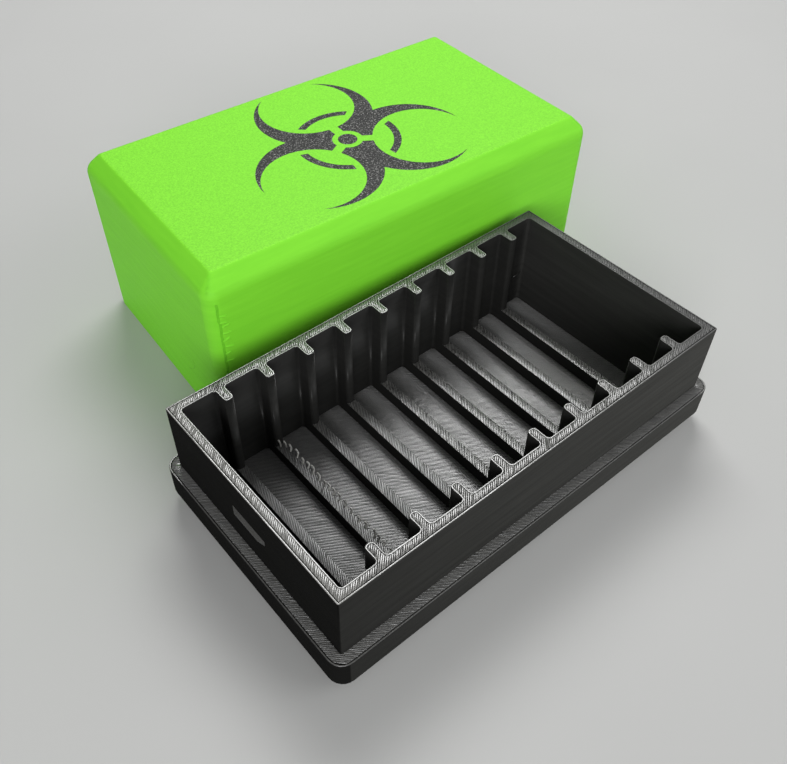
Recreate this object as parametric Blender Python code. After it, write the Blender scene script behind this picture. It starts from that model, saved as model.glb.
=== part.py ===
"""Coin storage box: a tray with ten upright slots, and a lift-off lid.

Metres, +Z up. The origin is the middle of the tray's underside, and the slots
stand in a row along X. The lid is off the tray and stands on its rim behind it.
Both pieces are printed plastic. A sign of seven flush inlays lies in the lid's top.
"""
import math

import bmesh
import bpy

# Slots, ribs and slats
SLOT_COUNT = 10
SLOT_WIDTH = 0.0090
SLOT_LENGTH = 0.0578
RIB_THICKNESS = 0.0024
RIB_DEPTH = 0.0044
RIB_TIP_RADIUS = 0.0009
SLOT_FILLET = 0.0008
SLOT_DROP = 0.0092
SLAT_DROP = 0.0053

# Tray walls and plinth
TRAY_WALL = 0.0025
TRAY_WALL_HEIGHT = 0.0200
TRAY_CORNER_RADIUS = 0.0004
TRAY_FLOOR = 0.0028

# Lid
LID_WALL = 0.0026
LID_TOP = 0.0024
LID_HEIGHT = 0.0510
LID_INNER_RADIUS = 0.0006
LID_CLEARANCE = 0.00025

# Outer form that the lid and the plinth share
CORNER_RADIUS = 0.0038
EDGE_CHAMFER = 0.0039
CHAMFER_CORNER_RADIUS = 0.0004

# Catch: a ridge on each end wall of the tray, a groove in each end wall of the lid
RIDGE_LENGTH = 0.0120
RIDGE_CREST_LENGTH = 0.0086
RIDGE_HEIGHT = 0.0017
RIDGE_REACH = 0.0008

# Sign on the lid's top: three pairs of horns about a hub, with a ring behind them.
# Each pair is a crescent, left between a round whose edge passes through the hub's
# middle and a smaller round that bites into it. The tip angle is seen from the first
# round's middle, away from the hub.
SIGN_HUB_SETBACK = 0.0030
CRESCENT_RADIUS = 0.0167
CRESCENT_THICKNESS = 0.0068
HORN_TIP_DEGREES = 29.4
RING_RADIUS = 0.01255
RING_WIDTH = 0.00205
RING_GAP = 0.0019
SLIT_WIDTH = 0.0027
HUB_RADIUS = 0.00265
HUB_GAP = 0.00155
INLAY_THICKNESS = 0.0008
INLAY_GAP = 0.0003

# Where the lid stands: how far it is shifted along the row of slots, how far it is
# turned, and its gap to the plinth at the end where the turn brings it nearest
LID_SHIFT = 0.0232
LID_TURN_DEGREES = -3.25
LID_STAND_GAP = 0.0004

# How far a cutter runs past the face that it cuts, and a joined piece into its carrier
OVERRUN = 0.0010

# Straight pieces in each arc
CORNER_STEPS = 6
FILLET_STEPS = 3
TIP_STEPS = 3
HORN_STEPS = 14
RING_STEPS = 12
HUB_ARC_STEPS = 3
HUB_STEPS = 32

# Angles between the sign's three crescents, and the turn of a smooth edge
CRESCENTS = 3
CRESCENT_ANGLE = 2 * math.pi / CRESCENTS
SMOOTH_ANGLE = math.radians(35)

# Sizes that follow from the ones above
PITCH = SLOT_WIDTH + RIB_THICKNESS
INNER_HALF_X = (SLOT_COUNT * SLOT_WIDTH + (SLOT_COUNT - 1) * RIB_THICKNESS) / 2
INNER_HALF_Y = SLOT_LENGTH / 2
TRAY_HALF_X = INNER_HALF_X + TRAY_WALL
TRAY_HALF_Y = INNER_HALF_Y + TRAY_WALL
LEDGE_WIDTH = LID_CLEARANCE + LID_WALL
OUTER_HALF_X = TRAY_HALF_X + LEDGE_WIDTH
OUTER_HALF_Y = TRAY_HALF_Y + LEDGE_WIDTH
LEDGE_LEVEL = TRAY_FLOOR + SLOT_DROP
SLAT_LEVEL = LEDGE_LEVEL - SLAT_DROP
RIM_LEVEL = LEDGE_LEVEL + TRAY_WALL_HEIGHT
LID_CEILING = LID_HEIGHT - LID_TOP
LID_INNER_CHAMFER = EDGE_CHAMFER + LID_WALL * math.sqrt(2) - LID_WALL - LID_TOP
LID_TURN = math.radians(LID_TURN_DEGREES)
LID_FACE_Y = OUTER_HALF_Y + LID_STAND_GAP - (OUTER_HALF_X - LID_SHIFT) * math.tan(LID_TURN)
LID_PLACE_Y = LID_FACE_Y + OUTER_HALF_Y / math.cos(LID_TURN)

# The round that bites each crescent, from where its edge and the crescent's meet
HORN_TIP_ANGLE = math.radians(HORN_TIP_DEGREES)
CRESCENT_REST = CRESCENT_RADIUS - CRESCENT_THICKNESS
BITE_SHIFT = ((CRESCENT_RADIUS**2 - CRESCENT_REST**2) / 2
              / (CRESCENT_REST + CRESCENT_RADIUS * math.cos(HORN_TIP_ANGLE)))
BITE_RADIUS = CRESCENT_REST + BITE_SHIFT
BITE_REACH = CRESCENT_RADIUS + BITE_SHIFT


def clear_scene():
    for thing in list(bpy.data.objects):
        bpy.data.objects.remove(thing, do_unlink=True)


def plastic(name, colour, roughness):
    made = bpy.data.materials.new(name)
    made.use_nodes = True
    shader = made.node_tree.nodes["Principled BSDF"]
    shader.inputs["Base Color"].default_value = (*colour, 1)
    shader.inputs["Roughness"].default_value = roughness
    shader.inputs["Metallic"].default_value = 0
    return made


# Outlines, as lists of points that run counter-clockwise
def arc(centre, radius, start, end, steps):
    """Points on a circle from one angle to another, both ends included."""
    angles = [start + (end - start) * step / steps for step in range(steps + 1)]
    return [(centre[0] + radius * math.cos(a), centre[1] + radius * math.sin(a)) for a in angles]


def rounded_rectangle(left, right, half_y, radius, steps):
    """A rectangle about the X axis, from left to right, with four equal round corners."""
    quarter = math.pi / 2
    corners = (
        (left + radius, radius - half_y, 2 * quarter),
        (right - radius, radius - half_y, 3 * quarter),
        (right - radius, half_y - radius, 0),
        (left + radius, half_y - radius, quarter),
    )
    points = []
    for x, y, start in corners:
        points += arc((x, y), radius, start, start + quarter, steps)
    return points


def slot_edges():
    """The left and right face of each slot, in X."""
    lefts = [number * PITCH - INNER_HALF_X for number in range(SLOT_COUNT)]
    return [(left, left + SLOT_WIDTH) for left in lefts]


def rib_outline(left, right):
    """The path round one rib of the near wall, between its left and right faces."""
    quarter = math.pi / 2
    root = -INNER_HALF_Y
    fillet = root + SLOT_FILLET
    tip = root + RIB_DEPTH - RIB_TIP_RADIUS
    return (
        arc((left - SLOT_FILLET, fillet), SLOT_FILLET, -quarter, 0, FILLET_STEPS)
        + arc((left + RIB_TIP_RADIUS, tip), RIB_TIP_RADIUS, 2 * quarter, quarter, TIP_STEPS)
        + arc((right - RIB_TIP_RADIUS, tip), RIB_TIP_RADIUS, quarter, 0, TIP_STEPS)
        + arc((right + SLOT_FILLET, fillet), SLOT_FILLET, 2 * quarter, 3 * quarter, FILLET_STEPS)
    )


def ribbed_outline():
    """The tray's mouth, with ribs along both long walls."""
    quarter = math.pi / 2
    edges = slot_edges()
    corner_x = INNER_HALF_X - SLOT_FILLET
    corner_y = SLOT_FILLET - INNER_HALF_Y
    near = arc((-corner_x, corner_y), SLOT_FILLET, 2 * quarter, 3 * quarter, FILLET_STEPS)
    for slot, following in zip(edges, edges[1:]):
        near += rib_outline(slot[1], following[0])
    near += arc((corner_x, corner_y), SLOT_FILLET, 3 * quarter, 4 * quarter, FILLET_STEPS)
    return near + [(-x, -y) for x, y in near]


def horn_outline(growth):
    """One horn pair of the sign, with its stem along -Y, grown outwards by growth.

    Its right half runs from the notch between the horns, out along the crescent's
    circle to the tip, back along the bite's circle, in along the slit and round the hub.
    """
    axis = -math.pi / 2 + CRESCENT_ANGLE / 2
    along = (math.cos(axis), math.sin(axis))
    across = (along[1], -along[0])
    crescent = CRESCENT_RADIUS + growth
    bite = BITE_RADIUS - growth
    hub = HUB_RADIUS + HUB_GAP - growth
    slit = SLIT_WIDTH / 2 - growth

    def spot(forward, aside):
        return tuple(forward * a + aside * b for a, b in zip(along, across))

    crescent_centre = spot(CRESCENT_RADIUS, 0)
    bite_centre = spot(BITE_REACH, 0)

    def angle(centre, point):
        return math.atan2(point[1] - centre[1], point[0] - centre[0]) % (2 * math.pi)

    notch_drop = math.sqrt(crescent**2 - crescent_centre[0] ** 2)
    notch = (0, crescent_centre[1] - notch_drop)
    tip_forward = (crescent**2 - bite**2 + BITE_REACH**2 - CRESCENT_RADIUS**2) / 2 / BITE_SHIFT
    tip = spot(tip_forward, math.sqrt(crescent**2 - (tip_forward - CRESCENT_RADIUS) ** 2))
    slit_outer = spot(BITE_REACH - math.sqrt(bite**2 - slit**2), slit)
    slit_inner = spot(math.sqrt(hub**2 - slit**2), slit)

    outward = arc(crescent_centre, crescent, angle(crescent_centre, notch),
                  angle(crescent_centre, tip), HORN_STEPS)
    inward = arc(bite_centre, bite, angle(bite_centre, tip), angle(bite_centre, slit_outer), HORN_STEPS)
    round_hub = arc((0, 0), hub, angle((0, 0), slit_inner), 3 * math.pi / 2, HUB_ARC_STEPS)
    right = outward + inward[1:] + round_hub
    return right + [(-x, y) for x, y in reversed(right[1:-1])]


def ring_outline(growth):
    """The stretch of the sign's ring that lies inside the bite towards +Y."""
    bite = BITE_RADIUS - RING_GAP + growth

    def reach(radius):
        height = (radius**2 - bite**2 + BITE_REACH**2) / (2 * BITE_REACH)
        return math.asin(height / radius)

    outer = RING_RADIUS + RING_WIDTH + growth
    inner = RING_RADIUS - growth
    outer_end = reach(outer)
    inner_end = reach(inner)
    return (
        arc((0, 0), outer, outer_end, math.pi - outer_end, RING_STEPS)
        + arc((0, 0), inner, math.pi - inner_end, inner_end, RING_STEPS)
    )


def hub_outline(growth):
    return arc((0, 0), HUB_RADIUS + growth, 0, 2 * math.pi, HUB_STEPS)[:-1]


def sign_outlines(growth):
    """Every inlay's name and outline, in the lid's own plane."""
    outlines = {"inlay_hub": hub_outline(growth)}
    for number in range(CRESCENTS):
        turn = number * CRESCENT_ANGLE
        outlines[f"inlay_horn_{number + 1}"] = turned(horn_outline(growth), turn)
        outlines[f"inlay_arc_{number + 1}"] = turned(ring_outline(growth), turn)
    return {name: [(x, y - SIGN_HUB_SETBACK) for x, y in points] for name, points in outlines.items()}


def turned(points, turn):
    cosine, sine = math.cos(turn), math.sin(turn)
    return [(x * cosine - y * sine, x * sine + y * cosine) for x, y in points]


# Solids
def mesh_object(name, shape):
    bmesh.ops.recalc_face_normals(shape, faces=shape.faces)
    mesh = bpy.data.meshes.new(name)
    shape.to_mesh(mesh)
    shape.free()
    made = bpy.data.objects.new(name, mesh)
    bpy.context.scene.collection.objects.link(made)
    return made


def add_loft(shape, rings):
    """Join rings of equal length, each a list of points and a level, into a closed skin."""
    loops = [[shape.verts.new((x, y, level)) for x, y in points] for points, level in rings]
    shape.faces.new(list(reversed(loops[0])))
    shape.faces.new(loops[-1])
    for lower, upper in zip(loops, loops[1:]):
        count = len(lower)
        for index in range(count):
            beside = (index + 1) % count
            shape.faces.new((lower[index], lower[beside], upper[beside], upper[index]))


def loft(name, rings):
    shape = bmesh.new()
    add_loft(shape, rings)
    return mesh_object(name, shape)


def prisms(name, outlines, low, high):
    """Upright prisms that stand clear of each other, in one object."""
    shape = bmesh.new()
    for points in outlines:
        add_loft(shape, [(points, low), (points, high)])
    return mesh_object(name, shape)


def add_ridge(shape, side, face, level):
    """A hipped ridge along Y on an upright end wall, with its foot sunk behind the face.

    side is 1 or -1, for the wall at that end of X.
    """
    foot = face - OVERRUN
    crest = face + RIDGE_REACH
    half_foot = RIDGE_LENGTH / 2
    half_crest = RIDGE_CREST_LENGTH / 2
    half_height = RIDGE_HEIGHT / 2
    corners = ((-1, -1), (1, -1), (1, 1), (-1, 1))
    back = [shape.verts.new((side * foot, y * half_foot, level + z * half_height)) for y, z in corners]
    front = [shape.verts.new((side * face, y * half_foot, level + z * half_height)) for y, z in corners]
    ends = [shape.verts.new((side * crest, y * half_crest, level)) for y in (-1, 1)]
    shape.faces.new(back)
    for index in range(len(corners)):
        beside = (index + 1) % len(corners)
        shape.faces.new((back[index], back[beside], front[beside], front[index]))
    shape.faces.new((front[0], front[1], ends[1], ends[0]))
    shape.faces.new((front[1], front[2], ends[1]))
    shape.faces.new((front[2], front[3], ends[0], ends[1]))
    shape.faces.new((front[3], front[0], ends[0]))


def ridges(name, face, level):
    shape = bmesh.new()
    for side in (-1, 1):
        add_ridge(shape, side, face, level)
    return mesh_object(name, shape)


def combine(target, tool, operation):
    """Add a live Boolean, and show its tool only as a wire guide."""
    modifier = target.modifiers.new(tool.name, "BOOLEAN")
    modifier.operation = operation
    modifier.solver = "EXACT"
    modifier.object = tool
    tool.display_type = "WIRE"
    tool.hide_render = True


def finish(made, finish_material):
    made.data.materials.clear()
    made.data.materials.append(finish_material)
    made.data.shade_smooth()
    made.data.set_sharp_from_angle(angle=SMOOTH_ANGLE)
    return made


# The outer form: a round-cornered box with one chamfered end
def outer_ring(inset):
    radius = max(CORNER_RADIUS - inset, CHAMFER_CORNER_RADIUS)
    half_x = OUTER_HALF_X - inset
    return rounded_rectangle(-half_x, half_x, OUTER_HALF_Y - inset, radius, CORNER_STEPS)


def lid_inner_ring(inset):
    half_x = TRAY_HALF_X + LID_CLEARANCE - inset
    half_y = TRAY_HALF_Y + LID_CLEARANCE - inset
    return rounded_rectangle(-half_x, half_x, half_y, LID_INNER_RADIUS, FILLET_STEPS)


def make_tray(black):
    tray = loft("tray", [
        (outer_ring(EDGE_CHAMFER), 0),
        (outer_ring(0), EDGE_CHAMFER),
        (outer_ring(0), LEDGE_LEVEL),
    ])
    walls = rounded_rectangle(-TRAY_HALF_X, TRAY_HALF_X, TRAY_HALF_Y, TRAY_CORNER_RADIUS, FILLET_STEPS)
    combine(tray, prisms("tray_walls_guide", [walls], LEDGE_LEVEL - OVERRUN, RIM_LEVEL), "UNION")
    mouth = prisms("tray_mouth_guide", [ribbed_outline()], SLAT_LEVEL, RIM_LEVEL + OVERRUN)
    combine(tray, mouth, "DIFFERENCE")
    slots = [rounded_rectangle(left, right, INNER_HALF_Y, SLOT_FILLET, FILLET_STEPS)
             for left, right in slot_edges()]
    pockets = prisms("tray_slots_guide", slots, TRAY_FLOOR, SLAT_LEVEL + OVERRUN)
    combine(tray, pockets, "DIFFERENCE")
    catch_level = LEDGE_LEVEL + TRAY_WALL_HEIGHT / 2
    combine(tray, ridges("tray_ridges_guide", TRAY_HALF_X, catch_level), "UNION")
    return finish(tray, black)


def make_lid(green, dark):
    place = bpy.data.objects.new("lid_place", None)
    bpy.context.scene.collection.objects.link(place)
    place.location = (LID_SHIFT, LID_PLACE_Y, 0)
    place.rotation_euler = (0, 0, LID_TURN)

    shell = loft("lid_shell", [
        (outer_ring(0), 0),
        (outer_ring(0), LID_HEIGHT - EDGE_CHAMFER),
        (outer_ring(EDGE_CHAMFER), LID_HEIGHT),
    ])
    hollow = loft("lid_hollow_guide", [
        (lid_inner_ring(0), -OVERRUN),
        (lid_inner_ring(0), LID_CEILING - LID_INNER_CHAMFER),
        (lid_inner_ring(LID_INNER_CHAMFER), LID_CEILING),
    ])
    combine(shell, hollow, "DIFFERENCE")
    inner_face = TRAY_HALF_X + LID_CLEARANCE
    grooves = ridges("lid_grooves_guide", inner_face, TRAY_WALL_HEIGHT / 2)
    combine(shell, grooves, "DIFFERENCE")
    pocket_floor = LID_HEIGHT - INLAY_THICKNESS - INLAY_GAP
    pockets = prisms("lid_pockets_guide", sign_outlines(0).values(), pocket_floor, LID_HEIGHT + OVERRUN)
    combine(shell, pockets, "DIFFERENCE")

    pieces = [finish(shell, green)]
    for name, points in sign_outlines(-INLAY_GAP).items():
        inlay = prisms(name, [points], LID_HEIGHT - INLAY_THICKNESS, LID_HEIGHT)
        pieces.append(finish(inlay, dark))
    for piece in pieces + [hollow, grooves, pockets]:
        piece.parent = place


clear_scene()
make_tray(plastic("black_plastic", (0.016, 0.016, 0.017), 0.5))
make_lid(plastic("green_plastic", (0.22, 0.80, 0.04), 0.55),
         plastic("speckled_dark_plastic", (0.045, 0.040, 0.045), 0.4))
bpy.context.view_layer.update()
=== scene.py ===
import math
import random

import bmesh
import bpy
from mathutils import Matrix, Vector
from mathutils.geometry import tessellate_polygon


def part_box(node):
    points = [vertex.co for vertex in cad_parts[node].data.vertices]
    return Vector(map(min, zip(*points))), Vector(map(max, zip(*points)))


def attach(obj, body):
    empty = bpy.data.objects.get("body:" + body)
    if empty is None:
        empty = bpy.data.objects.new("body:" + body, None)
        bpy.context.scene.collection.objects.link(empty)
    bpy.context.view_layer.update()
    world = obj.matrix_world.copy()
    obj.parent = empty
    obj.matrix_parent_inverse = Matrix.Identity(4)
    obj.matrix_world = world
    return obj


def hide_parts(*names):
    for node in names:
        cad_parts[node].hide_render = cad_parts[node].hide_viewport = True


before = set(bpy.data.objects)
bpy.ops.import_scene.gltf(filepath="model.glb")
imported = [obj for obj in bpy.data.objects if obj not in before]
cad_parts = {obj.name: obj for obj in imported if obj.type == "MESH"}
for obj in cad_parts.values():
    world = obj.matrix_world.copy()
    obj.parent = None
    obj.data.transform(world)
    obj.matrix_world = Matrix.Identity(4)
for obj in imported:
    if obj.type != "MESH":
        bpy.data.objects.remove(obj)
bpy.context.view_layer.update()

# The finished look of a printed coin box: a black tray whose upper faces show the laid
# lines of plastic, and a green lid with grain on its top and a dark sign set in it.
# Lengths are in metres.

# How far up a face's normal points at least, for the face to lie flat
LOOKS_UP = 0.99
# Two levels that differ by less than this are one
LEVEL_SLACK = 0.00002


def flat_levels(node):
    """The levels of a node's flat faces that look up, from the lowest to the highest."""
    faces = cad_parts[node].data.polygons
    return sorted({round(face.center.z, 5) for face in faces if face.normal.z > LOOKS_UP})


# Levels of the tray's upper faces, and of the lid's top
FLOOR_LEVEL, SLAT_LEVEL, LEDGE_LEVEL, RIM_LEVEL = flat_levels("tray")
LID_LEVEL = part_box("lid_shell")[1].z

# How the lid stands beside the tray
LID_TURN_DEGREES = -3.25

# Largest angle between two faces that shade as one, on most pieces and on laid lines, and
# between two faces that are made one
SHARP_DEGREES = 35
LINE_SHARP_DEGREES = 48
FLAT_DEGREES = 0.5

# The tray's walls: their outer faces, the middle of their thickness, and just under the skin
WALL_FACE_X = 0.0583
WALL_MIDDLE_X, WALL_MIDDLE_Y = 0.0570, 0.0302
WALL_SKIN_X, WALL_SKIN_Y = 0.0581, 0.0312

# Laid lines: their width, the depth of the furrow between two, and the layer under them
LINE_WIDTH = 0.00042
LINE_DEPTH = 0.00010
LAYER_HEIGHT = 0.00020
# Across one line: places as shares of its width, and heights as shares of the depth
LINE_PROFILE_SHARES = ((0, -1.5), (0.09, -0.50), (0.22, -0.08), (0.31, 0),
                       (0.69, 0), (0.78, -0.08), (0.91, -0.50), (1, -1.5))
# Along one line: the step between two sections, and how each strays in height and slope
LINE_STEP = 0.0020
LINE_LIFT = 0.000008
LINE_TILT = 0.07
FLOOR_TILT = 0.035
# Where a line ends: the length of its end, its drop and the small rise before it, the share
# of the furrow that is left where it turns into its neighbour, the shortest line that is
# laid, and the steepest cut across one
LINE_END = 0.00024
LINE_END_DROP = 0.00007
LINE_END_LIFT = 0.00003
TURN_SHARE = 0.15
LEAST_LINE = 0.00025
MOST_SLOPE = 1.2
# The gap inside the outer edge line, and how far lines without one run under the walls
OUTER_FURROW = 0.00014
UNDER_WALL = 0.00004
# Outlines go straight on where the sine of their turn is below this
STRAIGHT = 0.01

# The catch ridge on each end wall, which is laid in flat layers
RIDGE_LEVEL = 0.0220
RIDGE_HALF_HEIGHT = 0.00085
RIDGE_REACH = 0.0008
RIDGE_HALF_LENGTH = 0.0060
RIDGE_HALF_CREST = 0.0043
# How far a layer draws in at its upper and lower edges, and where on its height
LAYER_EDGE = 0.00004
LAYER_EDGE_SHARES = ((0, 1), (0.25, 0), (0.75, 0), (1, 1))

# Loose strands: on the right edge of the second slat, and a hair in the last slot
SLAT_EDGE_X = -0.0331
STRAND_FIRST_Y = 0.0225
STRAND_LAST_Y = -0.0200
STRAND_THICKNESS = 0.00050
STRAND_TIP_SHARE = 0.35
STRAND_RISE = 0.0014
STRAND_LENGTH = 0.0013
STRAND_OVERHANG = 0.0004
STRAND_SPACING = 0.0021
# Places along one strand: how far out, back and up, as shares of its sizes
STRAND_CURL = ((1, 0.6, 0.35), (1.2, 0.2, 0.75), (0.6, 0, 1))
# The least and the greatest share of each size that a strand is given
OVERHANG_SHARES = (0.3, 1.2)
LENGTH_SHARES = (0.6, 1.3)
RISE_SHARES = (0.45, 1.2)
THICKNESS_SHARES = (0.8, 1.2)
SPACING_SHARES = (0.5, 1.5)
# Paths of two whiskers at the far end of that edge, and of the hair
WHISKERS = (
    ((-0.0345, 0.0240, 0.0064), (-0.0344, 0.0243, 0.0078), (-0.0347, 0.0247, 0.0092)),
    ((-0.0335, 0.0230, 0.0064), (-0.0334, 0.0233, 0.0076), (-0.0336, 0.0238, 0.0087)),
)
WHISKER_THICKNESS = 0.00045
HAIR = ((0.0556, 0.0287, 0.0119), (0.0553, 0.0286, 0.0127), (0.0542, 0.0284, 0.0131),
        (0.0533, 0.0284, 0.0130), (0.0526, 0.0286, 0.0127), (0.0521, 0.0287, 0.0120),
        (0.0520, 0.0287, 0.0114))
HAIR_THICKNESS = 0.00011

# The lid's soft edges: round its top, and at the shoulder where the slope meets the walls
TOP_ROUNDING = 0.0015
SHOULDER_ROUNDING = 0.0036
ROUNDING_STEPS = 7
MITRE_RADIUS = 0.0009
# How far up the lid's outer faces look: slopes at least, slopes at most, walls at most
SLOPE_LEAST_UP, SLOPE_MOST_UP, WALL_MOST_UP = 0.5, 0.9, 0.1

# The sign's inlays: how thick they are, and how far each closes the seam around it
INLAY_DEPTH = 0.0008
INLAY_SEAM = 0.00001

# Marks of the print on the lid, each a bead that stands out of a face by a part of its
# thickness. A seam runs up near one corner, sunk along X and Y alike.
SEAM_THICKNESS = 0.00120
SEAM_STAND = 0.00007
SEAM_X = -0.0588
SEAM_LEVELS = (0.0010, 0.0455)
SEAM_STEP = 0.0012
SEAM_SWAY = 0.00006
SEAM_DIAGONAL = 0.7
# Wrinkles beside the seam: between two places in X, with the level of each one's two ends
WRINKLE_THICKNESS = 0.00080
WRINKLE_STAND = 0.00020
WRINKLE_ENDS = (-0.0586, -0.0557)
WRINKLE_STRAYS = (0.0005, 0.0013)
WRINKLES = ((0.0408, 0.0402), (0.0388, 0.0384), (0.0372, 0.0375), (0.0352, 0.0350),
            (0.0327, 0.0334), (0.0310, 0.0302), (0.0285, 0.0288), (0.0262, 0.0259))
# Burrs on the mitre above the seam, by distance from the top corner and length, and what
# shares of that length they lean out, run along and reach back
BURRS = ((0.0004, 0.0010), (0.0013, 0.0008), (0.0022, 0.0007), (0.0030, 0.0006))
BURR_OUT, BURR_ALONG, BURR_BACK = 0.5, 0.3, 0.4
# A small tick on the end face, as two strokes through places in Y and Z
MARK_THICKNESS = 0.00026
MARK_STAND = 0.00005
TICK = (((-0.0140, 0.0090), (-0.0166, 0.0105)),
        ((-0.0182, 0.0158), (-0.0188, 0.0136), (-0.0170, 0.0108)))

# Where the tray's finish and its painted light and shade change: half the width of the steps at its
# walls, and the middle and half the width of the others
CRISP = 0.0002
END_WALL_STEP = (0.0545, 0.001)
RIM_STEP = (RIM_LEVEL - 0.002, 0.001)
SLOTS_STEP = (0.010, 0.001)
RIGHT_STEP = (0.040, 0.020)
LEFT_STEP = (-0.053, 0.006)
FIRST_SLOTS_STEP = (-0.024, 0.030)

# Colours of the finishes, the dim one before the bright one
WALL_COLOURS = (0.003, 0.003, 0.003), (0.070, 0.070, 0.066)
LINE_DIM = (0.008, 0.008, 0.008)
LINE_TINT = (1, 0.985, 0.92)
SHELL_COLOURS = (0.195, 0.70, 0.028), (0.285, 0.87, 0.045)
MARK_COLOURS = (0.125, 0.50, 0.020), (0.185, 0.67, 0.026)
INLAY_COLOURS = (0.0125, 0.0130, 0.0120), (0.34, 0.34, 0.32)
GROUND_COLOURS = (0.53, 0.53, 0.52), (0.56, 0.56, 0.55)

# How fine the grain of the finishes is, in waves for each metre
GROUND_BLOTCHES = 14
BLOTCHES = 500
STREAKS = 900
CREASES = 900
LAYER_STREAKS = 1500
DASHES = 2300
GLINT_SPECKS = 2300
GRAIN = 2600
INLAY_GRAIN = 3000
SPARKLE = 3400

# Camera, solved from the tray's corners
CAMERA_PLACE = (-0.10336, -0.09726, 0.17703)
CAMERA_RIGHT = (0.77222745, -0.63534103, -0.00255746)
CAMERA_FORWARD = (0.434887, 0.53151088, -0.72689028)
FOCAL_PIXELS = 868.74
MIDDLE_PIXEL = (374.10, 378.54)
PICTURE_PIXELS = (787, 764)
SENSOR_MM = 36
NEAREST_SEEN = 0.01

# The ground that the box stands on, just under its underside
GROUND_SIZE = 4
GROUND_LEVEL = -0.0001

# The sky: its colour, its brightness, and how much brighter it is on one side than overhead
SKY_COLOUR = (0.97, 0.99, 1, 1)
SKY_LEVEL = 0.28
SKY_SLOPE = 0.30
SKY_SIDE = (0, -1, 0)

# Softboxes: name, azimuth from +X towards +Y, elevation, distance, size and brightness
LAMP_TARGET = (0.01, 0.03, 0.02)
LAMPS = (
    ("window", 50, 55, 0.75, (0.40, 0.30), 9.5),
    ("left_fill", 225, 22, 0.9, (0.5, 0.4), 7.0),
    ("front_fill", -50, 36, 0.9, (0.5, 0.4), 1.9),
)

rng = random.Random(7)


class Signal:
    """A socket of a material's node tree, with arithmetic that adds Math nodes."""

    def __init__(self, tree, socket=None):
        self.tree = tree
        self.socket = socket

    def node(self, kind, values=(), output=0, **settings):
        """Add a node: its settings first, then its inputs' values or links."""
        made = self.tree.nodes.new(kind)
        for name, setting in settings.items():
            setattr(made, name, setting)
        for key, value in dict(values).items():
            if isinstance(value, Signal):
                self.tree.links.new(value.socket, made.inputs[key])
            else:
                made.inputs[key].default_value = value
        return Signal(self.tree, made.outputs[output])

    def math(self, operation, *values):
        return self.node("ShaderNodeMath", enumerate(values), operation=operation)

    def __add__(self, other):
        return self.math("ADD", self, other)

    def __radd__(self, other):
        return self.math("ADD", other, self)

    def __sub__(self, other):
        return self.math("SUBTRACT", self, other)

    def __rsub__(self, other):
        return self.math("SUBTRACT", other, self)

    def __mul__(self, other):
        return self.math("MULTIPLY", self, other)

    def __rmul__(self, other):
        return self.math("MULTIPLY", other, self)

    def __truediv__(self, other):
        return self.math("DIVIDE", self, other)

    def __abs__(self):
        return self.math("ABSOLUTE", self)

    def least(self, other):
        return self.math("MINIMUM", self, other)

    def most(self, other):
        return self.math("MAXIMUM", self, other)

    def fraction(self):
        """What is left above the whole number below it."""
        return self.math("FRACT", self)

    def above(self, edge, softness):
        """0 below the edge and 1 above it, with a soft step between."""
        values = {"Value": self, "From Min": edge - softness, "From Max": edge + softness}
        return self.node("ShaderNodeMapRange", values, interpolation_type="SMOOTHSTEP")

    def mix(self, low, high):
        """A colour between two, by this value."""
        values = {"Factor": self, 6: (*low, 1), 7: (*high, 1)}
        return self.node("ShaderNodeMix", values, output=2, data_type="RGBA")


def noise(place, per_metre, detail=2.0, roughness=0.5):
    values = {"Vector": place, "Scale": per_metre, "Detail": detail, "Roughness": roughness}
    return place.node("ShaderNodeTexNoise", values)


class Finish:
    """A material under construction, with the piece's own coordinates at hand."""

    def __init__(self, name, specular, ior=1.5, coat_roughness=0.3):
        self.material = bpy.data.materials.new(name)
        self.material.use_nodes = True
        tree = self.material.node_tree
        self.shader = tree.nodes["Principled BSDF"]
        self.shader.inputs["Specular IOR Level"].default_value = specular
        self.shader.inputs["IOR"].default_value = ior
        self.shader.inputs["Coat Roughness"].default_value = coat_roughness
        self.base = Signal(tree)
        self.place = self.base.node("ShaderNodeTexCoord", output=3)
        split = self.base.node("ShaderNodeSeparateXYZ", {0: self.place})
        self.x, self.y, self.z = (Signal(tree, socket) for socket in split.socket.node.outputs)
        normal = self.base.node("ShaderNodeTexCoord", output=1)
        split = self.base.node("ShaderNodeSeparateXYZ", {0: normal})
        self.up = Signal(tree, split.socket.node.outputs[2])

    def set(self, name, value):
        self.base.tree.links.new(value.socket, self.shader.inputs[name])

    def streaks(self, per_metre, share=0.05, roughness=0.5):
        """Noise drawn out along the layers, to a length of one wave divided by the share."""
        values = {0: self.place, 1: (share, share, 1)}
        drawn_out = self.place.node("ShaderNodeVectorMath", values, operation="MULTIPLY")
        return noise(drawn_out, per_metre, detail=3.0, roughness=roughness)

    def relief(self, height, depth, steepness=0.0):
        """Relief of a depth from a height of 0 to 1, over the round layers of upright faces."""
        turn = (self.z / LAYER_HEIGHT).fraction() * 2 - 1
        streak = self.streaks(LAYER_STREAKS, roughness=0.6)
        lean = turn * abs(turn) * streak * steepness
        facing = self.base.node("ShaderNodeNewGeometry", output=1)
        tilt = self.base.node("ShaderNodeCombineXYZ", {2: lean})
        leaning = facing.node("ShaderNodeVectorMath", {0: facing, 1: tilt}, operation="ADD")
        normal = leaning.node("ShaderNodeVectorMath", {0: leaning}, operation="NORMALIZE")
        values = {"Height": height, "Distance": depth, "Strength": 1.0, "Normal": normal}
        self.set("Normal", normal.node("ShaderNodeBump", values))


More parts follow.
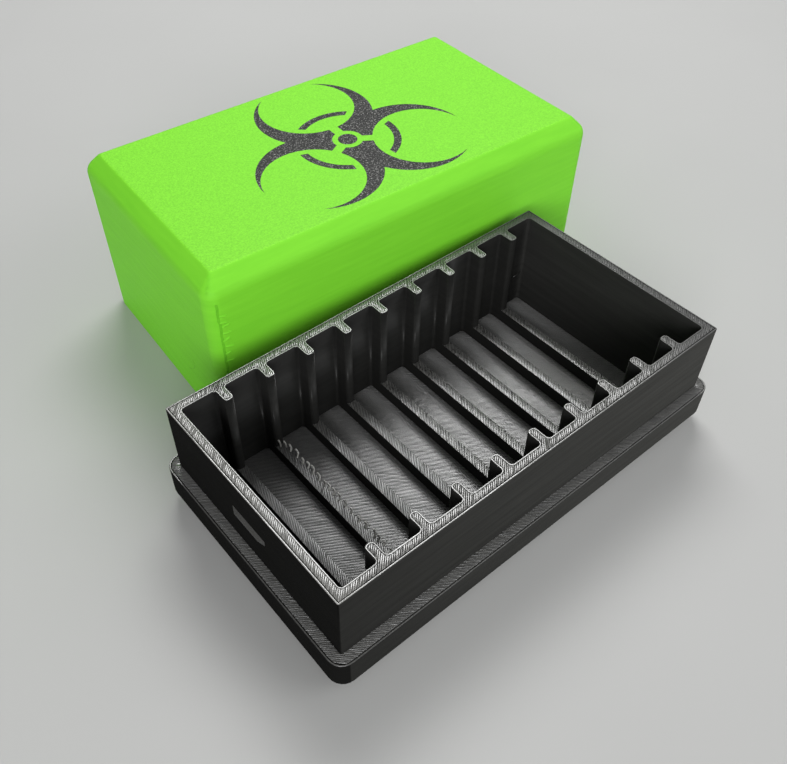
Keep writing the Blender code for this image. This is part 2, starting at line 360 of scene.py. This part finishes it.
# Finishes
def black_wall():
    """Walls of laid layers, with painted light: paler inside the tray, and outside on its long
    walls; the outer end walls are darkest, as painted shade.
    """
    finish = Finish("black_layered_plastic", specular=0.001)
    end_x, side_y = abs(finish.x), abs(finish.y)
    outside = end_x.above(WALL_MIDDLE_X, CRISP).most(side_y.above(WALL_MIDDLE_Y, CRISP))
    long_side = side_y.above(WALL_SKIN_Y, CRISP) * (WALL_SKIN_X - end_x).above(0.0, CRISP)
    inside = 1 - outside
    # Painted light: inside, the walls are paler and the right end is the palest. Outside, the long
    # walls grow paler along the slots, as painted light from the front right, and the end walls
    # stay darkest, as painted shade.
    inner_painted_light = 0.30 + 0.20 * finish.x.above(*END_WALL_STEP)
    long_wall_painted_light = 0.26 + 0.50 * ((finish.x + WALL_FACE_X) / (2 * WALL_FACE_X))
    tone = inside * inner_painted_light + outside * 0.11 + long_side * long_wall_painted_light
    streaked = tone * (0.7 + 0.6 * finish.streaks(STREAKS))
    finish.set("Base Color", streaked.mix(*WALL_COLOURS))
    finish.set("Coat Weight", inside * 0.22)
    finish.set("Roughness", 0.42 + 0.16 * noise(finish.place, BLOTCHES, detail=3.0))
    finish.relief(noise(finish.place, GRAIN), depth=0.000010, steepness=1.2)
    return finish.material


def black_line(name, direction, dash_softness, least_up=0.945, brightness=0.215):
    """Laid lines that run along a direction: glossy on their crests, dull in the furrows, with a
    painted highlight on the crests and painted shade in the furrows.
    """
    finish = Finish(name, specular=1.0, ior=1.62, coat_roughness=0.24)
    along, across = direction
    run = finish.x * along + finish.y * across
    side = finish.x * -across + finish.y * along
    grid = finish.base.node("ShaderNodeCombineXYZ", {0: run * 0.30, 1: side, 2: finish.z})
    dash = noise(grid, DASHES, roughness=0.6).above(0.5, dash_softness)
    sparkle = noise(finish.place, SPARKLE, roughness=0.7)
    crest = finish.up.above(least_up, 0.04)

    # Painted shade at the rim's right end and in the first slots, which are also rougher and less
    # glossy; painted highlight on the rim's left end and on the slots at the right
    at_rim, low = finish.z.above(*RIM_STEP), 1 - finish.z.above(*SLOTS_STEP)
    right, left = finish.x.above(*RIGHT_STEP), 1 - finish.x.above(*LEFT_STEP)
    shaded_rim_end, first_slots = at_rim * right, low * (1 - finish.x.above(*FIRST_SLOTS_STEP))
    gloss = (dash + sparkle - 0.55) * crest * (1 - 0.62 * shaded_rim_end - 0.4 * first_slots) * 1.9
    finish.set("Coat Weight", gloss.most(0.0).least(1.0))
    share = 1 - 0.72 * shaded_rim_end + 0.6 * at_rim * left - 0.5 * first_slots + 0.9 * low * right
    # Painted light in the rim's furrows, the most at its left end
    rim_furrow_painted_light = at_rim * (0.12 + 0.55 * left) * (1 - 0.8 * shaded_rim_end)
    # Painted highlight on the crests, lighter or darker by the share; the furrows keep the dim
    # colour, as painted shade
    tone = crest * share * (0.45 + 0.8 * (sparkle - 0.5) + 0.5 * dash) + rim_furrow_painted_light
    bright = [brightness * tint for tint in LINE_TINT]
    finish.set("Base Color", tone.mix(LINE_DIM, bright))
    finish.set("Roughness", 0.24 + 0.20 * dash + 0.40 * shaded_rim_end + 0.20 * first_slots)
    finish.relief(sparkle, depth=0.000012)
    return finish.material


def green_shell():
    """The lid: grained on its flat top, and streaked by its layers everywhere else."""
    finish = Finish("green_printed_plastic", specular=0.22)
    at_top = finish.z.above(LID_LEVEL - LEVEL_SLACK * 8, LEVEL_SLACK * 4)
    on_top = at_top * finish.up.above(0.8, 0.1)
    grain = noise(finish.place, GRAIN, detail=3.0, roughness=0.65)
    streak = finish.streaks(STREAKS, share=0.08)
    tone = (grain - 0.5) * on_top * 3.0 + 0.55 * on_top + streak * (1 - on_top) * 0.6
    finish.set("Base Color", tone.mix(*SHELL_COLOURS))
    finish.set("Roughness", 0.52 + 0.14 * grain)
    finish.relief(on_top * grain, depth=0.000075, steepness=0.7)
    return finish.material


def green_mark():
    """The lid's seam and tick, a little darker than the faces around them."""
    finish = Finish("creased_green_plastic", specular=0.2)
    finish.set("Base Color", noise(finish.place, CREASES).mix(*MARK_COLOURS))
    finish.set("Roughness", 0.5 + 0.1 * noise(finish.place, BLOTCHES))
    return finish.material


def dark_inlay():
    """The sign: dark, with pale specks painted in as glints."""
    finish = Finish("speckled_dark_plastic", specular=0.30)
    grain = noise(finish.place, INLAY_GRAIN, detail=3.0, roughness=0.65)
    # Pale specks: painted glints
    speck = noise(finish.place, GLINT_SPECKS, detail=3.0, roughness=0.8).above(0.59, 0.05)
    finish.set("Base Color", speck.mix(*INLAY_COLOURS))
    finish.set("Roughness", 0.45 + 0.2 * grain)
    finish.relief(grain, depth=0.000050)
    return finish.material


def plain_floor():
    """The ground: pale and dull."""
    finish = Finish("pale_floor", specular=0.2)
    finish.shader.inputs["Roughness"].default_value = 0.8
    finish.set("Base Color", noise(finish.place, GROUND_BLOTCHES).mix(*GROUND_COLOURS))
    return finish.material


# Reading the frame's own faces
def welded(node, to_piece=None):
    """A copy of a node's mesh with its doubled corners joined, in the piece's own axes."""
    shape = bmesh.new()
    shape.from_mesh(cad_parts[node].data)
    if to_piece is not None:
        shape.transform(to_piece)
    bmesh.ops.remove_doubles(shape, verts=shape.verts, dist=LEVEL_SLACK / 4)
    return shape


def upward_outlines(shape, level):
    """The edges of the flat faces that look up at a level, as loops with the face on their left."""
    faces = {face for face in shape.faces
             if face.normal.z > LOOKS_UP and abs(face.calc_center_median().z - level) < LEVEL_SLACK}
    following = {}
    for face in faces:
        for corner in face.loops:
            if corner.link_loop_radial_next.face not in faces:
                following[corner.vert] = corner.link_loop_next.vert
    loops = []
    while following:
        start, spot = following.popitem()
        loop = [start]
        while spot is not start:
            loop.append(spot)
            spot = following.pop(spot)
        loops.append(straightened([Vector(vert.co[:2]) for vert in loop]))
    return sorted(loops, key=lambda points: (*rounded(points[0]), len(points)))


def rounded(spot):
    return round(spot.x, 5), round(spot.y, 5)


def straightened(points):
    """The same outline without the points that lie on a straight stretch."""
    kept = []
    for before, point, after in zip(points[-1:] + points[:-1], points, points[1:] + points[:1]):
        come, go = (point - before).normalized(), (after - point).normalized()
        if abs(come.cross(go)) > STRAIGHT:
            kept.append(point)
    first = min(range(len(kept)), key=lambda index: rounded(kept[index]))
    return kept[first:] + kept[:first]


def area(points):
    return sum(a.cross(b) for a, b in zip(points, points[1:] + points[:1])) / 2


def inset(points, distance):
    """The outline moved to its left, into the face."""
    moved = []
    for before, point, after in zip(points[-1:] + points[:-1], points, points[1:] + points[:1]):
        come, go = (point - before).normalized(), (after - point).normalized()
        left, right = Vector((-come.y, come.x)), Vector((-go.y, go.x))
        moved.append(point + (left + right) * distance / (1 + left.dot(right)))
    return moved


def divided(points, step):
    """The outline with extra points on its long straight stretches."""
    fine = []
    for point, after in zip(points, points[1:] + points[:1]):
        pieces = max(1, round((after - point).length / step))
        fine += [point.lerp(after, piece / pieces) for piece in range(pieces)]
    return fine


# Laid lines
def sweep(shape, sections, closed):
    """Join cross-sections of equal length, each a list of places, into one closed bar."""
    rings = [[shape.verts.new(place) for place in section] for section in sections]
    count = len(rings[0])
    following = rings[1:] + rings[:1] if closed else rings[1:]
    for ring, after in zip(rings, following):
        for index in range(count):
            beside = (index + 1) % count
            shape.faces.new((ring[index], after[index], after[beside], ring[beside]))
    if not closed:
        shape.faces.new(rings[0])
        shape.faces.new(list(reversed(rings[-1])))


def wrap(shape, ring, after):
    """A band of faces between two rings of corners."""
    for index in range(len(ring)):
        beside = (index + 1) % len(ring)
        shape.faces.new((ring[index], ring[beside], after[beside], after[index]))


def lift_and_tilt(tilt):
    return rng.gauss(0, 1) * LINE_LIFT, rng.gauss(0, 1) * tilt


def edge_line(shape, outline, level, start, sway):
    """A laid line that follows an outline, from a distance inside it."""
    fine = divided(outline, LINE_STEP)
    rings = [inset(fine, start + share * LINE_WIDTH) for share, _ in LINE_PROFILE_SHARES]
    sections = []
    for index in range(len(fine)):
        lift, tilt = lift_and_tilt(sway)
        section = []
        for ring, (share, depth) in zip(rings, LINE_PROFILE_SHARES):
            rise = lift + tilt * (share - 0.5) * LINE_WIDTH if depth == 0 else 0
            section.append((*ring[index], level + depth * LINE_DEPTH + rise))
        sections.append(section)
    sweep(shape, sections, closed=True)


def crossings(outlines, along, across, reach):
    """Where a straight line meets the outlines: the place along it, and the slope there."""
    found = []
    for points in outlines:
        for point, after in zip(points, points[1:] + points[:1]):
            here, there = point.dot(across) - reach, after.dot(across) - reach
            if (here < 0) != (there < 0):
                place = point.lerp(after, here / (here - there)).dot(along)
                slope = (after - point).dot(along) / (after - point).dot(across)
                found.append((place, max(-MOST_SLOPE, min(MOST_SLOPE, slope))))
    return sorted(found)


def stations(start, end, start_slope, end_slope):
    """Places along one line: the slope of its section, its rise or drop, and which end it is at."""
    run_in = min(LINE_END, (end - start) / 3)
    length = end - start - 2 * run_in
    pieces = max(1, round(length / LINE_STEP))
    inner = [start + run_in + length * number / pieces for number in range(pieces + 1)]
    middle = [(place, 0, 0, 0) for place in inner]
    middle[0] = (inner[0], start_slope, LINE_END_LIFT, -1)
    middle[-1] = (inner[-1], end_slope, LINE_END_LIFT, 1)
    return [(start, start_slope, -LINE_END_DROP, -1), *middle, (end, end_slope, -LINE_END_DROP, 1)]


def hatch(shape, outlines, level, direction, sway):
    """Straight laid lines side by side across a face, each turning into the next at its ends."""
    along = Vector(direction).normalized()
    across = Vector((-along.y, along.x))
    reaches = [point.dot(across) for points in outlines for point in points]
    for number in range(math.ceil(min(reaches) / LINE_WIDTH), math.ceil(max(reaches) / LINE_WIDTH)):
        reach = (number + 0.5) * LINE_WIDTH
        partner = 1 if number % 2 else -1
        ends = crossings(outlines, along, across, reach)
        for (start, start_slope), (end, end_slope) in zip(ends[::2], ends[1::2]):
            if end - start < LEAST_LINE:
                continue
            sections = []
            for station, slope, end_rise, which_end in stations(start, end, start_slope, end_slope):
                lift, tilt = lift_and_tilt(sway)
                section = []
                for side, depth in LINE_PROFILE_SHARES:
                    aside = (side - 0.5) * LINE_WIDTH
                    rise = lift + tilt * aside + end_rise if depth == 0 else 0
                    if aside * partner * which_end > 0:
                        depth *= TURN_SHARE
                    flat = along * (station + slope * aside) + across * (reach + aside)
                    section.append((*flat, level + depth * LINE_DEPTH + rise))
                sections.append(section)
            sweep(shape, sections, closed=False)


def printed_face(name, shape, level, direction, outer_lines, inner_lines, sway, material):
    """The lines laid on the tray's faces of one level: edge lines, then a hatch between them."""
    lines = bmesh.new()
    within = []
    for outline in upward_outlines(shape, level):
        count = outer_lines if area(outline) > 0 else inner_lines
        for number in range(count):
            edge_line(lines, outline, level, number * LINE_WIDTH, sway)
        gap = OUTER_FURROW if count and area(outline) > 0 else 0
        within.append(inset(outline, count * LINE_WIDTH + gap if count else -UNDER_WALL))
    hatch(lines, within, level, direction, sway)
    piece(name, lines, material, "tray", "black_plastic", sharp=LINE_SHARP_DEGREES)


# Strands
def tube(shape, path, thickness, sides=6, end_share=0.55):
    """A thin strand along a path, narrower at its two ends."""
    path = [Vector(place) for place in path]
    turns = [2 * math.pi * side / sides for side in range(sides)]
    sections = []
    for index, place in enumerate(path):
        ahead = (path[min(index + 1, len(path) - 1)] - path[max(index - 1, 0)]).normalized()
        aside = ahead.orthogonal().normalized()
        up = ahead.cross(aside)
        width = thickness / 2 * (end_share if index in (0, len(path) - 1) else 1)
        sections.append([place + (aside * math.cos(turn) + up * math.sin(turn)) * width
                         for turn in turns])
    for before, after in zip(sections, sections[1:]):
        shift = min(range(sides), key=lambda turn: (after[turn] - before[0]).length)
        after[:] = after[shift:] + after[:shift]
    sweep(shape, sections, closed=False)


def smooth_path(points, steps=4):
    """A Catmull-Rom path through a few places."""
    points = [Vector(point) for point in points]
    padded = [2 * points[0] - points[1], *points, 2 * points[-1] - points[-2]]
    path = []
    for a, b, c, d in zip(padded, padded[1:], padded[2:], padded[3:]):
        for step in range(steps):
            t = step / steps
            path.append(b + (c - a) * t / 2 + (2 * a - 5 * b + 4 * c - d) * t**2 / 2
                        + (3 * b - a - 3 * c + d) * t**3 / 2)
    return path + [points[-1]]


def make_strands(strand, line):
    """Loose curls along the edge of one slat, where the nozzle has dragged the plastic."""
    shape = bmesh.new()
    place = STRAND_FIRST_Y
    while place > STRAND_LAST_Y:
        reach = STRAND_OVERHANG * rng.uniform(*OVERHANG_SHARES)
        length = STRAND_LENGTH * rng.uniform(*LENGTH_SHARES)
        rise = STRAND_RISE * rng.uniform(*RISE_SHARES)
        foot = (SLAT_EDGE_X - STRAND_THICKNESS, place - length, SLAT_LEVEL - STRAND_THICKNESS / 2)
        curl = [(SLAT_EDGE_X + reach * out, place - length * back, SLAT_LEVEL + rise * up)
                for out, back, up in STRAND_CURL]
        thickness = STRAND_THICKNESS * rng.uniform(*THICKNESS_SHARES)
        tube(shape, smooth_path([foot, *curl]), thickness, sides=8, end_share=STRAND_TIP_SHARE)
        place -= STRAND_SPACING * rng.uniform(*SPACING_SHARES)
    for whisker in WHISKERS:
        tube(shape, smooth_path(whisker), WHISKER_THICKNESS, end_share=STRAND_TIP_SHARE)
    piece("slat_strands", shape, strand, "tray", "black_plastic")

    shape = bmesh.new()
    tube(shape, smooth_path(HAIR), HAIR_THICKNESS)
    piece("slot_hair", shape, line, "tray", "black_plastic")


def make_catch(line):
    """The catch ridges, as a stack of layers whose edges step out to the crest and back."""
    count = round(2 * RIDGE_HALF_HEIGHT / LAYER_HEIGHT)
    foot = WALL_FACE_X - LINE_WIDTH
    taper = RIDGE_HALF_LENGTH - RIDGE_HALF_CREST
    for side, name in ((-1, "left_catch"), (1, "right_catch")):
        shape = bmesh.new()
        for number in range(count):
            middle = (number + 0.5 - count / 2) * LAYER_HEIGHT
            share = 1 - abs(middle) / RIDGE_HALF_HEIGHT
            sections = []
            for height, edge in LAYER_EDGE_SHARES:
                crest = WALL_FACE_X + (RIDGE_REACH * share - edge * LAYER_EDGE)
                half = RIDGE_HALF_LENGTH - taper * share - edge * LAYER_EDGE
                level = RIDGE_LEVEL + middle + (height - 0.5) * LAYER_HEIGHT
                far_half = [(foot, RIDGE_HALF_LENGTH), (WALL_FACE_X, RIDGE_HALF_LENGTH),
                            (crest, half)]
                plan = [(x, -y) for x, y in far_half] + far_half[::-1]
                sections.append([(side * x, y, level) for x, y in plan])
            sweep(shape, sections, closed=False)
        piece(name, shape, line, "tray", "black_plastic")


# Pieces
def placed(name, data):
    """An object in the scene for a mesh, a lamp or a camera."""
    made = bpy.data.objects.new(name, data)
    bpy.context.scene.collection.objects.link(made)
    return made


def piece(name, shape, material, body, slot, place=None, sharp=SHARP_DEGREES):
    """One piece of the model, which moves with a body and has a material; its slot is not used."""
    bmesh.ops.recalc_face_normals(shape, faces=shape.faces)
    mesh = bpy.data.meshes.new(name)
    shape.to_mesh(mesh)
    shape.free()
    mesh.materials.append(material)
    mesh.shade_smooth()
    mesh.set_sharp_from_angle(angle=math.radians(sharp))
    made = placed(name, mesh)
    if place is not None:
        made.matrix_world = place
    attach(made, body)
    return made


def flat_faces(made):
    """Let large faces look flat up to their rounded edges."""
    weighted = made.modifiers.new("flat_faces", "WEIGHTED_NORMAL")
    weighted.keep_sharp = True


def merge_flat(shape):
    """Make one face of neighbours that lie in one plane."""
    bmesh.ops.dissolve_limit(shape, angle_limit=math.radians(FLAT_DEGREES), verts=shape.verts,
                             edges=shape.edges)


def make_tray(wall):
    """The tray's body, with its laid lines, catch ridges and loose strands."""
    shape = welded("tray")
    rising, falling = (1, 1), (1, -1)
    lines = {rising: black_line("rising_laid_plastic", rising, 0.20),
             falling: black_line("falling_laid_plastic", falling, 0.46)}
    # Name, level, direction of the hatch, outer and inner edge lines, and how far they tilt
    faces = (("rim_lines", RIM_LEVEL, rising, 1, 1, LINE_TILT),
             ("ledge_lines", LEDGE_LEVEL, falling, 1, 0, LINE_TILT),
             ("slat_lines", SLAT_LEVEL, rising, 0, 0, LINE_TILT),
             ("floor_lines", FLOOR_LEVEL, falling, 0, 0, FLOOR_TILT))
    for name, level, direction, *settings in faces:
        printed_face(name, shape, level, direction, *settings, lines[direction])
    # The body ends under the lines, and behind the catch ridges
    for vert in shape.verts:
        if any(abs(vert.co.z - level) < LEVEL_SLACK for _, level, *_ in faces):
            vert.co.z -= LINE_DEPTH
        at_ridge = abs(vert.co.z - RIDGE_LEVEL) < LAYER_HEIGHT
        if at_ridge and abs(vert.co.x) > WALL_FACE_X + LEVEL_SLACK:
            vert.co.x = math.copysign(WALL_FACE_X - LEVEL_SLACK, vert.co.x)
    merge_flat(shape)
    made = piece("tray_body", shape, wall, "tray", "black_plastic")
    flat_faces(made)
    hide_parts("tray")
    make_catch(lines[falling])
    # The strands are pale all over, as a painted highlight on black plastic
    strand = black_line("loose_strand_plastic", falling, 0.34, least_up=-0.60, brightness=0.95)
    make_strands(strand, lines[falling])


def lid_place():
    """Where the lid's own axes lie: under its middle, and turned with it."""
    low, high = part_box("lid_shell")
    middle = (low + high) / 2
    turned = Matrix.Rotation(math.radians(LID_TURN_DEGREES), 4, "Z")
    return Matrix.Translation((middle.x, middle.y, 0)) @ turned


class LidForm:
    """The lid's outer form, read from its solid and softly rounded."""

    def __init__(self, shape):
        corners = [vert.co for vert in shape.verts]
        self.half = Vector((max(spot.x for spot in corners), max(spot.y for spot in corners)))
        self.foot = max(spot.z for spot in corners if spot.x > self.half.x - LEVEL_SLACK)
        self.chamfer = LID_LEVEL - self.foot
        straight = max(spot.x for spot in corners if spot.y > self.half.y - LEVEL_SLACK)
        self.radius = self.half.x - straight

    def around(self, spot, inset_by):
        """Where a spot of the base's outline lies on the outline that is inset by a distance."""
        signs = Vector((math.copysign(1, spot.x), math.copysign(1, spot.y)))
        turn = (spot - signs * (self.half - Vector((self.radius, self.radius)))) / self.radius
        radius = max(self.radius - inset_by, MITRE_RADIUS)
        centre = signs * (self.half - Vector((inset_by + radius, inset_by + radius)))
        return centre + turn.normalized() * radius

    def profile(self):
        """Insets and levels from the walls over the round shoulder and slope to the round top."""
        eighth = math.pi / 4
        low = self.foot - SHOULDER_ROUNDING * math.tan(eighth / 2)
        far = self.chamfer + TOP_ROUNDING * math.tan(eighth / 2)
        turns = [eighth * step / ROUNDING_STEPS for step in range(ROUNDING_STEPS + 1)]
        shoulder = [(SHOULDER_ROUNDING * (1 - math.cos(turn)),
                     low + SHOULDER_ROUNDING * math.sin(turn)) for turn in turns]
        brow = [(far - TOP_ROUNDING * math.cos(eighth + turn),
                 LID_LEVEL - TOP_ROUNDING * (1 - math.sin(eighth + turn))) for turn in turns]
        return shoulder + brow

    def near_face(self, x, level):
        """A place on the near face, also where it turns round a corner."""
        over = max(0, abs(x) - (self.half.x - self.radius))
        y = -(self.half.y - self.radius + math.sqrt(self.radius**2 - over**2))
        return Vector((x, y, level))


def boundary_loops(shape, level):
    """Open edges at a level, as loops of corners."""
    beside = {}
    for edge in shape.edges:
        if edge.is_boundary and all(abs(vert.co.z - level) < LEVEL_SLACK for vert in edge.verts):
            for vert in edge.verts:
                beside.setdefault(vert, []).append(edge.other_vert(vert))
    loops = []
    while beside:
        start = min(beside, key=lambda vert: (round(vert.co.x, 6), round(vert.co.y, 6)))
        loop, spot, before = [start], beside[start][0], start
        while spot is not start:
            loop.append(spot)
            spot, before = next(vert for vert in beside[spot] if vert is not before), spot
        for vert in loop:
            del beside[vert]
        loops.append(loop)
    return loops


def soften_skin(shape, form):
    """Put a softly rounded skin in the place of the lid's outer faces."""
    outside = []
    for face in shape.faces:
        middle, normal = face.calc_center_median(), face.normal
        over = normal.z > SLOPE_LEAST_UP and middle.z > form.foot - LEVEL_SLACK
        outer = normal.z < SLOPE_MOST_UP or middle.z > LID_LEVEL - LEVEL_SLACK
        wall = abs(normal.z) < WALL_MOST_UP and middle.xy.dot(normal.xy) > 0
        if over and outer or wall and middle.z < form.foot:
            outside.append(face)
    bmesh.ops.delete(shape, geom=outside, context="FACES")

    # One more corner on each short chord makes the rounded corners smoother
    base = boundary_loops(shape, 0)[0]
    chords = [edge for edge in shape.edges
              if edge.is_boundary and all(vert in base for vert in edge.verts)
              and edge.calc_length() < form.radius / 2]
    bmesh.ops.subdivide_edges(shape, edges=chords, cuts=1)
    base = boundary_loops(shape, 0)[0]
    for vert in base:
        vert.co.xy = form.around(vert.co.xy, 0)

    # Rings from the base to the top's edge, then the top with the sign's holes left open
    rings = [base]
    for inset_by, level in form.profile():
        rings.append([shape.verts.new((*form.around(vert.co.xy, inset_by), level))
                      for vert in base])
    for ring, after in zip(rings, rings[1:]):
        wrap(shape, ring, after)
    holes = [loop for loop in boundary_loops(shape, LID_LEVEL) if loop[0] not in rings[-1]]
    loops = [rings[-1], *holes]
    corners = [vert for loop in loops for vert in loop]
    for triple in tessellate_polygon([[vert.co for vert in loop] for loop in loops]):
        shape.faces.new([corners[index] for index in triple])


def make_lid(green, mark, dark):
    """The lid's body, with the marks of its print and the sign in its top."""
    place = lid_place()
    shape = welded("lid_shell", place.inverted())
    holes = [outline for outline in upward_outlines(shape, LID_LEVEL) if area(outline) < 0]
    merge_flat(shape)
    form = LidForm(shape)
    soften_skin(shape, form)
    shell = piece("lid_body", shape, green, "lid", "green_plastic", place)
    # The top shades flat, right up to its edges
    corners = shell.data.vertices
    for edge in shell.data.edges:
        if all(corners[index].co.z > LID_LEVEL - LEVEL_SLACK for index in edge.vertices):
            edge.use_edge_sharp = True
    flat_faces(shell)
    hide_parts("lid_shell")
    make_marks(form, green, mark, place)
    make_sign(holes, dark, place)


def make_marks(form, green, mark, place):
    """The print's own marks on the lid, as thin beads half sunk in its faces."""
    seam = bmesh.new()
    sink = SEAM_THICKNESS / 2 - SEAM_STAND
    low, high = SEAM_LEVELS
    count = round((high - low) / SEAM_STEP)
    path = [form.near_face(SEAM_X + rng.gauss(0, 1) * SEAM_SWAY, low + (high - low) * step / count)
            for step in range(count + 1)]
    tube(seam, [spot + Vector((sink, sink, 0)) * SEAM_DIAGONAL for spot in path], SEAM_THICKNESS)
    sink = MARK_THICKNESS / 2 - MARK_STAND
    for stroke in TICK:
        points = [(sink - form.half.x, y, level) for y, level in stroke]
        tube(seam, smooth_path(points), MARK_THICKNESS)
    piece("lid_seam", seam, mark, "lid", "green_plastic", place)

    wrinkles = bmesh.new()
    inward = Vector((0, WRINKLE_THICKNESS / 2 - WRINKLE_STAND, 0))
    for start, end in WRINKLES:
        left, right = WRINKLE_ENDS
        left += rng.uniform(0, 1) * WRINKLE_STRAYS[0]
        right -= rng.uniform(0, 1) * WRINKLE_STRAYS[1]
        middle = form.near_face((left + right) / 2, (start + end) / 2 + rng.gauss(0, 1) * SEAM_SWAY)
        path = smooth_path([form.near_face(left, start), middle, form.near_face(right, end)])
        tube(wrinkles, [spot + inward for spot in path], WRINKLE_THICKNESS, sides=8)
    corner = form.half - Vector((form.chamfer, form.chamfer))
    for along, length in BURRS:
        out = Vector((1, 1, 0)) * along
        spot = Vector((-corner.x, -corner.y, LID_LEVEL - along)) - out
        side = Vector((-length, 0, -length)) * BURR_OUT + Vector((0, length, 0)) * BURR_ALONG
        tube(wrinkles, [spot - side * BURR_BACK, spot + side], MARK_THICKNESS)
    piece("lid_wrinkles", wrinkles, green, "lid", "green_plastic", place)


def make_sign(holes, dark, place):
    """An inlay for each hole in the lid's top, matched to the node that lies in it."""
    nodes = [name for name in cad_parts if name.startswith("inlay")]
    to_lid = place.inverted()
    middles = {}
    for name in nodes:
        low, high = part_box(name)
        middles[name] = (to_lid @ ((low + high) / 2)).to_2d()
    for outline in holes:
        points = list(reversed(inset(outline, -INLAY_SEAM)))
        low = Vector((min(spot.x for spot in points), min(spot.y for spot in points)))
        high = Vector((max(spot.x for spot in points), max(spot.y for spot in points)))
        name = min(nodes, key=lambda node: (middles[node] - (low + high) / 2).length)
        shape = bmesh.new()
        bottom = [(*point, LID_LEVEL - INLAY_DEPTH) for point in points]
        top = [(*point, LID_LEVEL) for point in points]
        under, over = ([shape.verts.new(spot) for spot in ring] for ring in (bottom, top))
        wrap(shape, under, over)
        shape.faces.new(list(reversed(under)))
        shape.faces.new(over)
        made = piece(name + "_fill", shape, dark, "lid", "speckled_plastic", place)
        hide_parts(name)


# Stage
def area_light(name, azimuth, elevation, distance, size, radiance):
    """A softbox of a set brightness, in a direction and at a distance from its target."""
    lamp = bpy.data.lights.new(name, "AREA")
    lamp.shape = "RECTANGLE"
    lamp.size, lamp.size_y = size
    lamp.energy = radiance * math.pi * size[0] * size[1]
    made = placed(name, lamp)
    around, up = math.radians(azimuth), math.radians(elevation)
    flat = math.cos(up)
    towards = Vector((flat * math.cos(around), flat * math.sin(around), math.sin(up)))
    made.location = Vector(LAMP_TARGET) + towards * distance
    made.rotation_euler = towards.to_track_quat("Z", "Y").to_euler()


def make_stage():
    """The ground, the sky and the softboxes."""
    shape = bmesh.new()
    bmesh.ops.create_grid(shape, x_segments=1, y_segments=1, size=GROUND_SIZE)
    mesh = bpy.data.meshes.new("floor")
    shape.to_mesh(mesh)
    shape.free()
    mesh.materials.append(plain_floor())
    floor = placed("floor", mesh)
    floor.location = (0, 0, GROUND_LEVEL)

    world = bpy.data.worlds.new("studio")
    world.use_nodes = True
    tree = world.node_tree
    sky = tree.nodes["Background"]
    sky.inputs["Color"].default_value = SKY_COLOUR
    direction = Signal(tree).node("ShaderNodeTexCoord", output=0)
    values = {0: direction, 1: SKY_SIDE}
    side = direction.node("ShaderNodeVectorMath", values, output=1, operation="DOT_PRODUCT")
    tree.links.new((SKY_LEVEL + SKY_SLOPE * side).socket, sky.inputs["Strength"])
    bpy.context.scene.world = world

    for lamp in LAMPS:
        area_light(*lamp)


def make_camera():
    right, forward = Vector(CAMERA_RIGHT), Vector(CAMERA_FORWARD)
    up = right.cross(forward)
    turn = Matrix((right, up, -forward)).transposed().to_4x4()
    lens = bpy.data.cameras.new("camera")
    width, height = PICTURE_PIXELS
    lens.sensor_fit = "HORIZONTAL"
    lens.sensor_width = SENSOR_MM
    lens.lens = FOCAL_PIXELS * SENSOR_MM / width
    lens.shift_x = (width / 2 - MIDDLE_PIXEL[0]) / width
    lens.shift_y = (MIDDLE_PIXEL[1] - height / 2) / width
    lens.clip_start = NEAREST_SEEN
    camera = placed("camera", lens)
    camera.matrix_world = Matrix.Translation(CAMERA_PLACE) @ turn
    bpy.context.scene.camera = camera


bpy.context.scene.view_settings.view_transform = "Standard"
make_camera()
make_tray(black_wall())
make_lid(green_shell(), green_mark(), dark_inlay())
make_stage()
